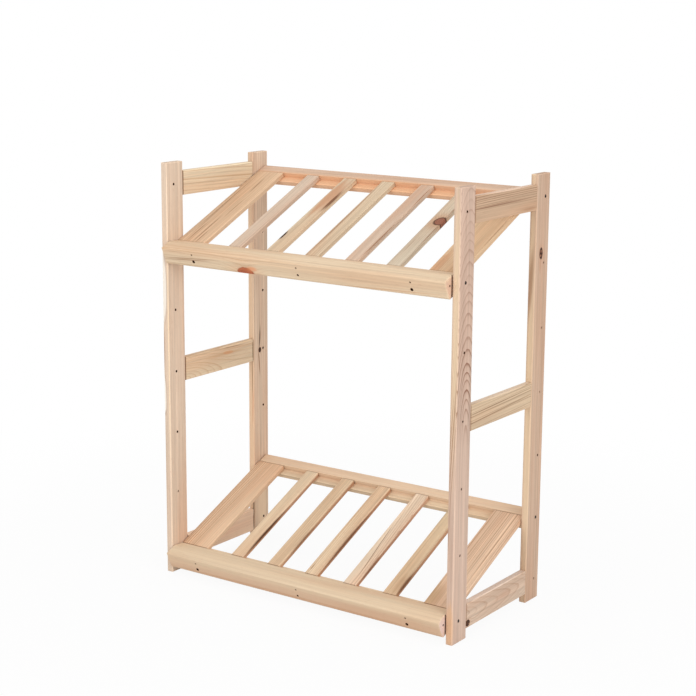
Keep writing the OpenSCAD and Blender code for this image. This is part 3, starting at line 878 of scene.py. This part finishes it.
nose_marks = {
    # Painted shade on the lower nose rail: its front face is painted darker than its top, and darker still
    # along its lower edge.
    lower: [streak(shelf_place(lower, 0.0, -0.0400, -0.0120), 0.6, 0.024, 0.55, paint(214, 175, 146)),
            nose_mark(lower, 0.0, -0.0180, 0.4, 0.0040, 0.4, paint(196, 142, 108))],
    upper: [nose_mark(upper, -0.2535, -0.0050, 0.085, 0.0010, 0.7, umber, (0, 0.056), 0.7),
            nose_mark(upper, -0.2700, -0.0092, 0.062, 0.0010, 0.65, umber, (0, 0.056), 0.7),
            nose_mark(upper, -0.3000, 0.0070, 0.030, 0.0010, 0.4, umber, (0, 0.02), 0.7),
            nose_mark(upper, -0.1100, -0.0120, 0.015, 0.0065, 0.7, paint(228, 150, 104)),
            nose_mark(upper, -0.1330, -0.0190, 0.014, 0.0035, 0.5, paint(150, 76, 52)),
            nose_mark(upper, 0.2100, -0.0190, 0.160, 0.0020, 0.5, paint(200, 150, 112), (0, 0.029))]}
end_grain = {lower: paint(240, 214, 216), upper: paint(226, 184, 164)}
# A streak that is short along the rail and wide across it covers each end.
for row, marks in nose_marks.items():
    marks += [streak(shelf_place(row, x, -0.025, -0.005), 0.0028, 0.035, 0.6, end_grain[row])
              for x in (-nose_end, nose_end)]
print("marks on the nose rails:", [len(marks) for marks in nose_marks.values()])

# %% Holes of the nose rails
pair_pitch = 0.2555                     # from one pair of face holes to the next
blind_depth = 0.013                     # a little more than the holes are deep
pair_radii = {-pair_pitch: 0.00275, 0.0: 0.00175, pair_pitch: 0.00275}   # of the lower holes
small_radius = 0.0015                   # of the upper holes and those in the ends
# where a thin line of painted shade is drawn on each end of a nose rail, in its gap to a post
gap_shade_x, gap_shade_y = 0.3318, -0.1511          # in the gap to a post, just behind the post's front face


def nose_holes(row):
    """The dark holes of a nose rail, pairs in its face and one in each end, and painted shade in the gaps
    between its ends and the posts.
    """
    holes = []
    for x, radius in pair_radii.items():
        holes += [(shelf_place(row, x, nose_face, -0.0122), along_slat, radius, blind_depth, 1.0),
                  (shelf_place(row, x, nose_face, 0.0033), along_slat, small_radius, blind_depth, 0.6)]
    holes += [(shelf_place(row, x, -0.026, -0.002), across, small_radius, blind_depth, 1.0)
              for x in (-0.332, 0.332)]
    # painted shade: a thin dark upright line on each end of the rail, in its narrow gap to the post
    gap_z = first_hole + row * hole_rise
    holes += [((x, gap_shade_y, gap_z), up, 0.0009, 0.05, 0.8) for x in (-gap_shade_x, gap_shade_x)]
    return holes


print("holes and gaps of a nose rail:", len(nose_holes(lower)))

# %% Shelf rails
nose_knot = branch(shelf_place(upper, -0.128, nose_face, -0.021), -along_slat, 0.0112, 1.75, 0.0, russet)
shelf_rails = {
    "lower_nose_rail": dict(
        pith=(0.03, -0.055), seed=6, shade=0.945, strength=0.5, ring=0.0050, plain=0.6, pale_and_lit_corners=0.1,
        along=[(0.0, 0.25), (1.0, 0.25)], streaks=nose_marks[lower], holes=nose_holes(lower)),
    "lower_rear_rail": dict(
        pith=(0.04, -0.05), seed=9, strength=0.35,
        streaks=[streak(shelf_place(lower, 0, 0.310, 0.0), 0.8, 0.026, 0.5, paint(232, 200, 172))]),
    "upper_nose_rail": dict(
        pith=(0.03, -0.055), seed=17, strength=0.5, ring=0.0050, plain=0.2, pale_and_lit_corners=0.1, knots=[nose_knot],
        along=[(0.0, 0.9), (0.3, 1.0), (0.45, 0.35), (1.0, 0.3)],
        streaks=nose_marks[upper], holes=nose_holes(upper)),
    # Painted light: a lighter, more orange streak over the front of this rail's wall and ledge, where it
    # lies in shade.
    "upper_rear_rail": dict(
        pith=(0.04, -0.05), seed=20, strength=0.35, tone=rose,
        streaks=[streak(shelf_place(upper, 0, 0.291, -0.008), 0.8, 0.019, 0.75, paint(238, 184, 140))])}
for rail, values in shelf_rails.items():
    pine(rail, across, off_slat, joined=0, **values)
print("shelf rails finished:", len(shelf_rails))

# %% [markdown]
# Slats and side boards
#
# The grain of the slats and side boards runs down the slope. The right slat of the upper
# shelf has a brown knot near its middle. The lower shelf is seen from above and from its
# right, so the right side faces of its slats show. Their lower halves are painted warm brown
# as painted shade, with darker marks of painted shade. A mark is placed by its distance
# across, and by s, its distance up the slope from the front screws.

# %% Marks on slats and boards
slat_step = 0.0932


def board_mark(row, x, s, half_long, half_wide, share, colour=umber, tilt=0.0, n=0.0):
    """A line on a side board, x being its distance across from the rack's middle."""
    return streak(shelf_place(row, x, s, n), half_long, half_wide, share, colour, (tilt, 0), 0.7)


def slat_mark(row, slat, x, *values, **more):
    """A line on a slat, 1 to 5, x being its distance across from the slat's middle line."""
    return board_mark(row, (slat - 3) * slat_step + x, *values, **more)


def shaded_right_side(slat):
    """Painted shade: an orange-brown streak over the lower half of the right side face of a slat of the
    lower shelf.
    """
    return slat_mark(lower, slat, 0.0160, 0.157, 0.3, 0.0060, 0.65, paint(176, 110, 74), n=-0.006)


print("the slats' middle lines:", [round((slat - 3) * slat_step, 4) for slat in range(1, 6)])

# %% Upper shelf
upper_sticks = {
    "upper_left_board": dict(
        pith=(0.06, -0.02), seed=50, strength=0.22, ring=0.0075, bend=0.012,
        tone=wood_tone((228, 194, 160), (150, 100, 70)),
        streaks=[board_mark(upper, -0.3195, 0.176, 0.13, 0.0013, 0.75),
                 board_mark(upper, -0.3170, 0.120, 0.09, 0.0011, 0.5, tilt=0.02),
                 board_mark(upper, -0.3095, 0.050, 0.04, 0.0013, 0.8),
                 board_mark(upper, -0.2935, 0.063, 0.055, 0.0013, 0.9),
                 board_mark(upper, -0.2930, 0.241, 0.030, 0.0014, 0.75, tilt=0.04),
                 board_mark(upper, -0.2855, 0.036, 0.025, 0.0013, 0.85),
                 board_mark(upper, -0.2860, 0.150, 0.04, 0.0012, 0.65)]),
    "upper_slat_1": dict(pith=(0.05, -0.03), seed=51, tone=pale, shade=0.90, strength=0.25),
    "upper_slat_2": dict(
        pith=(0.03, -0.03), seed=52, shade=0.925, strength=0.3, blush=0.2,
        streaks=[slat_mark(upper, 2, -0.0120, 0.071, 0.019, 0.0036, 1.0, knot_dark),
                 slat_mark(upper, 2, 0.0, 0.225, 0.085, 0.016, 0.75, paint(200, 146, 110)),
                 slat_mark(upper, 2, 0.013, 0.208, 0.045, 0.0034, 0.9, vein, n=-0.001)]),
    "upper_slat_3": dict(
        pith=(0.02, -0.03), seed=53, shade=0.92, strength=0.5,
        streaks=[slat_mark(upper, 3, -0.0105, 0.15, 0.20, 0.0012, 0.75),
                 slat_mark(upper, 3, -0.0080, 0.13, 0.12, 0.0008, 0.5)]),
    "upper_slat_4": dict(
        pith=(0.04, -0.03), seed=54, tone=pale, shade=0.905, strength=0.4, blush=0.42,
        streaks=[slat_mark(upper, 4, 0.0140, 0.090, 0.075, 0.0018, 0.75),
                 slat_mark(upper, 4, 0.0140, 0.255, 0.045, 0.0018, 0.75)]),
    "upper_slat_5": dict(
        pith=(-0.04, -0.03), seed=55, shade=0.97, strength=0.5,
        tone=wood_tone((224, 208, 184), (186, 157, 124)),
        knots=[branch(shelf_place(upper, 0.1955, 0.1740, 0.0), off_slat, 0.0120, 1.1, 0.75,
                      paint(168, 108, 86))],
        streaks=[slat_mark(upper, 5, -0.0060, 0.085, 0.03, 0.0012, 0.5),
                 slat_mark(upper, 5, 0.0140, 0.130, 0.05, 0.0018, 0.6),
                 slat_mark(upper, 5, 0.0140, 0.220, 0.03, 0.0016, 0.6)]),
    "upper_right_board": dict(
        pith=(-0.04, -0.03), seed=56, tone=amber, shade=0.97, strength=0.4,
        streaks=[board_mark(upper, 0.275, 0.035, 0.05, 0.012, 0.4, paint(214, 150, 108)),
                 board_mark(upper, 0.3285, 0.150, 0.06, 0.0012, 0.6)])}
for board, values in upper_sticks.items():
    pine(board, along_slat, off_slat, joined=0.35, pale_and_lit_corners=0.15, **values)
print("slats and boards of the upper shelf:", len(upper_sticks))

# %% Lower shelf
# Painted shade: on each lower slat the streak along its right side and the dark mark 14 mm right of its
# middle, a few mm below its top, darken the side face.
lower_sticks = {
    "lower_left_board": dict(
        pith=(0.10, -0.02), seed=57, shade=1.03, strength=1.4, ring=0.0042, fade=(-0.020, 0.010),
        tone=wood_tone((231, 197, 164), (188, 138, 101))),
    "lower_slat_1": dict(
        pith=(0.05, -0.03), seed=58, shade=1.03, strength=0.3,
        streaks=[shaded_right_side(1),
                 slat_mark(lower, 1, 0.0145, 0.095, 0.10, 0.0040, 0.95, paint(90, 56, 34), n=-0.003)]),
    "lower_slat_2": dict(
        pith=(0.04, -0.03), seed=59, tone=honey, strength=0.4,
        streaks=[shaded_right_side(2), slat_mark(lower, 2, 0.0140, 0.100, 0.07, 0.0044, 0.6, vein, n=-0.003)]),
    "lower_slat_3": dict(
        pith=(0.03, -0.03), seed=60, shade=1.03, strength=0.9, ring=0.0023,
        streaks=[shaded_right_side(3), slat_mark(lower, 3, 0.0145, 0.130, 0.10, 0.0042, 0.8, vein, n=-0.003),
                 slat_mark(lower, 3, -0.0080, 0.035, 0.012, 0.0015, 0.7)]),
    "lower_slat_4": dict(
        pith=(0.015, -0.03), lean=(0.06, 0), seed=61, strength=0.6, ring=0.0030,
        tone=wood_tone((241, 217, 190), (184, 142, 112)),
        streaks=[shaded_right_side(4), slat_mark(lower, 4, -0.0020, 0.125, 0.11, 0.0011, 0.8, vein, tilt=0.09),
                 slat_mark(lower, 4, 0.0140, 0.070, 0.05, 0.0042, 0.6, vein, n=-0.004)]),
    "lower_slat_5": dict(
        pith=(0.04, -0.03), seed=62, tone=straw, shade=1.04, strength=0.4,
        streaks=[shaded_right_side(5),
                 slat_mark(lower, 5, 0.0060, 0.045, 0.040, 0.010, 0.4, paint(184, 140, 104)),
                 slat_mark(lower, 5, 0.0140, 0.050, 0.04, 0.0042, 0.8, vein, n=-0.003)]),
    "lower_right_board": dict(
        pith=(-0.10, -0.02), seed=64, strength=0.8, ring=0.0050,
        tone=wood_tone((234, 201, 171), (158, 112, 80)),
        along=[(0.0, 0.35), (0.35, 0.5), (0.5, 1.0), (1.0, 1.0)],
        streaks=[board_mark(lower, 0.2600, 0.030, 0.055, 0.036, 0.5, paint(186, 150, 104))])}
for board, values in lower_sticks.items():
    pine(board, along_slat, off_slat, joined=0.7, pale_and_lit_corners=0.15, **values)
print("slats and boards of the lower shelf:", len(lower_sticks))

# %% [markdown]
# Dowels, screws and pins
#
# The dowels are hidden inside the frame joints and are dressed in a plain, browner wood.
# The shelf screws are steel with a dark coat, dull and slightly brown, and the pins that
# hold the slats from below are plain bright wire. Steel needs little more than a metallic
# shader; noise varies its roughness and shade in patches, as a dipped or drawn surface has.

# %% Small hardware


def metal(name, colour, rough, uneven):
    """Steel in patches: uneven is how much darker, and 0.15 how much rougher, a patch may be."""
    material = bpy.data.materials.new(name)
    material.use_nodes = True
    material.node_tree.nodes.clear()
    wire = WoodWiring(material.node_tree)
    at = wire.node("ShaderNodeTexCoord").outputs["Object"]
    patch = wire.noise(at, detail=3.0, stretch=(900, 900, 900))
    shade = wire.curve(patch, [(0.3, 1.0 - uneven), (0.7, 1.0)])
    shader = wire.node("ShaderNodeBsdfPrincipled")
    shader.inputs["Metallic"].default_value = 1.0
    wire.feed(shader.inputs["Base Color"], wire.tint(1.0, colour, shade, "MULTIPLY"))
    wire.feed(shader.inputs["Roughness"], wire.curve(patch, [(0.3, rough), (0.7, rough + 0.15)]))
    wire.feed(wire.node("ShaderNodeOutputMaterial").inputs["Surface"], shader.outputs["BSDF"])
    return material


screw_coat = metal("screw_coat", paint(78, 70, 64), 0.45, 0.4)
pin_wire = metal("pin_wire", paint(190, 190, 192), 0.3, 0.15)
for shelf in ("lower", "upper"):
    dress(shelf + "_shelf_screws", screw_coat)
    dress(shelf + "_front_pins", pin_wire)
    dress(shelf + "_rear_pins", pin_wire)
for side_frame in ("left", "right"):
    pine(side_frame + "_frame_dowels", back, across, pith=(0.05, 0.05), seed=70, strength=0.3, joined=0,
         tone=wood_tone((206, 168, 130), (184, 142, 104)))
worn = {slot.material.name for piece in rack.values() for slot in piece.material_slots}
print("materials on the rack:", len(worn))

# %% [markdown]
# The floor
#
# The rack stands on a white ground and keeps a faint shadow there. The floor is a wide
# plain sheet. To the rack it is a pale surface that throws light back up. To the camera
# it shines almost white, so it needs no edge and no horizon, but a small share of it is
# still lit paint, and there the shadow shows.

# %% Floor sheet
floor_half = 80.0
floor_lines = 25                        # grid lines each way
steps = np.linspace(-floor_half, floor_half, floor_lines)
grid_x, grid_y = np.meshgrid(steps, steps)
points = np.stack([grid_x, grid_y, np.zeros_like(grid_x)], axis=-1).reshape(-1, 3)
index = np.arange(floor_lines * floor_lines).reshape(floor_lines, floor_lines)
corners = [index[:-1, :-1], index[:-1, 1:], index[1:, 1:], index[1:, :-1]]
quads = np.stack(corners, axis=-1).reshape(-1, 4)
sheet = bpy.data.meshes.new("studio_floor")
sheet.from_pydata(points.tolist(), [], quads.tolist())
floor = bpy.data.objects.new("studio_floor", sheet)
bpy.context.scene.collection.objects.link(floor)
print("floor: %d faces" % len(quads))

# %% Floor paint
shadow_share = 0.07                     # the share of lit paint close to the rack
shadow_near, shadow_far = 0.55, 1.5     # and how far from its middle that share fades out


def seen_directly(wire):
    """1 for a ray from the camera, also by way of a gloss or a glass, and 0 for any other ray."""
    path = wire.node("ShaderNodeLightPath")
    seen = wire.add(path.outputs["Is Camera Ray"], path.outputs["Is Glossy Ray"])
    return wire.math("ADD", seen, path.outputs["Is Transmission Ray"], clamp=True)


def mixed(wire, share, first, second):
    """A mix of two shaders, by the share of the second one."""
    mixer = wire.node("ShaderNodeMixShader")
    for socket, value in zip(mixer.inputs, (share, first.outputs[0], second.outputs[0])):
        wire.feed(socket, value)
    return mixer.outputs[0]


floor_paint = bpy.data.materials.new("floor_white")
floor_paint.use_nodes = True
floor_paint.node_tree.nodes.clear()
wire = WoodWiring(floor_paint.node_tree)
matt = wire.node("ShaderNodeBsdfDiffuse")
matt.inputs["Color"].default_value = (0.8, 0.8, 0.8, 1.0)
glow = wire.node("ShaderNodeEmission")
glow.inputs["Strength"].default_value = 1.0
from_rack = wire.length(wire.node("ShaderNodeTexCoord").outputs["Object"])
clear = wire.times(wire.ease(from_rack, shadow_near, shadow_far), shadow_share)
share = wire.times(seen_directly(wire), wire.add(1 - shadow_share, clear))
wire.feed(wire.node("ShaderNodeOutputMaterial").inputs["Surface"], mixed(wire, share, matt, glow))
sheet.materials.append(floor_paint)
print("floor paint:", len(floor_paint.node_tree.nodes), "nodes")

# %% [markdown]
# The light
#
# The light of the photograph is very soft: from above, from in front and from the right,
# with hardly a shadow. An evenly white world gives most of it. The camera sees that world
# as plain white, and three large lamps model the sticks a little.

# %% World
world = bpy.data.worlds.new("studio")
bpy.context.scene.world = world
world.use_nodes = True
world.node_tree.nodes.clear()
wire = WoodWiring(world.node_tree)
lit = wire.node("ShaderNodeBackground")
lit.inputs["Strength"].default_value = 0.72
shown = wire.node("ShaderNodeBackground")
shown.inputs["Strength"].default_value = 1.0
for ground in (lit, shown):
    ground.inputs["Color"].default_value = (1.0, 1.0, 1.0, 1.0)
wire.feed(wire.node("ShaderNodeOutputWorld").inputs["Surface"],
          mixed(wire, seen_directly(wire), lit, shown))
print("world:", len(world.node_tree.nodes), "nodes")

# %% Lamps
rack_middle = Vector((0, 0, 0.4))


def soft_box(name, place, size, watts):
    """A square lamp at place, in metres, that faces the middle of the rack."""
    lamp = bpy.data.lights.new(name, "AREA")
    lamp.shape = "SQUARE"
    lamp.size = size
    lamp.energy = watts
    made = bpy.data.objects.new(name, lamp)
    bpy.context.scene.collection.objects.link(made)
    towards = (rack_middle - Vector(place)).normalized()
    made.matrix_world = Matrix.Translation(place) @ towards.to_track_quat("-Z", "Y").to_matrix().to_4x4()


soft_box("overhead", (0.2, -0.8, 6.0), size=3.5, watts=30)
soft_box("front", (-1.0, -5.0, 3.0), size=3.0, watts=70)
soft_box("right", (5.0, -2.0, 2.0), size=2.6, watts=100)
